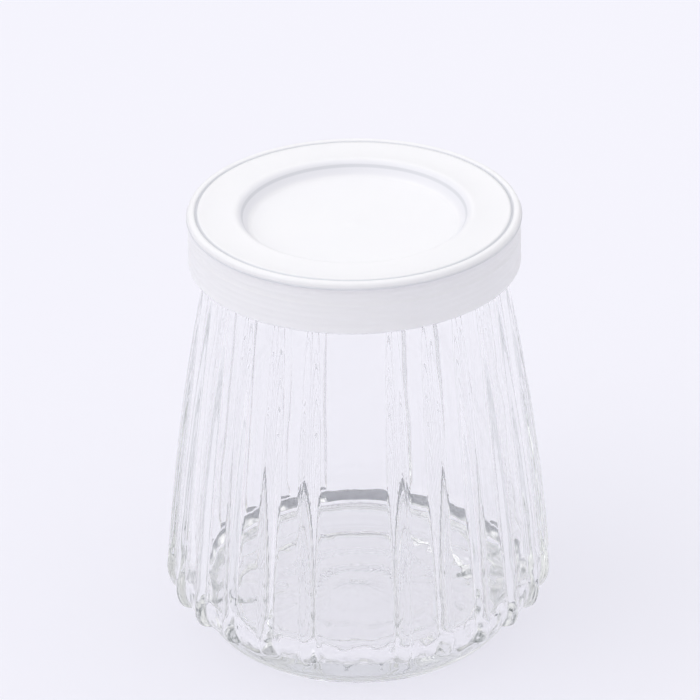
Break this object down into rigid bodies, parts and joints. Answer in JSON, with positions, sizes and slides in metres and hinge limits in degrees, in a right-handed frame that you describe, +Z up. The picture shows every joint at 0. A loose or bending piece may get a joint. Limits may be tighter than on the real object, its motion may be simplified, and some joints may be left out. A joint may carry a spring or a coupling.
{
  "type": "glass yogurt pot",
  "caption": "Clear ribbed glass pot for one portion of yogurt, round and wider at the base, with a soft white press-on lid recessed in its middle.",
  "frame": {"origin": "centre of the foot, on the surface that the pot stands on", "axes": "+Z up along the pot's axis; -Y points out of the plain panel over the front mould seam"},
  "size_m": [0.0736, 0.0716, 0.0873],
  "materials": {
    "clear_glass": "clear pressed glass, fire-polished",
    "lid_plastic": "milky white soft plastic, satin"
  },
  "bodies": {
    "root": {"jar": "clear_glass", "lid": "lid_plastic"}
  },
  "joints": []
}
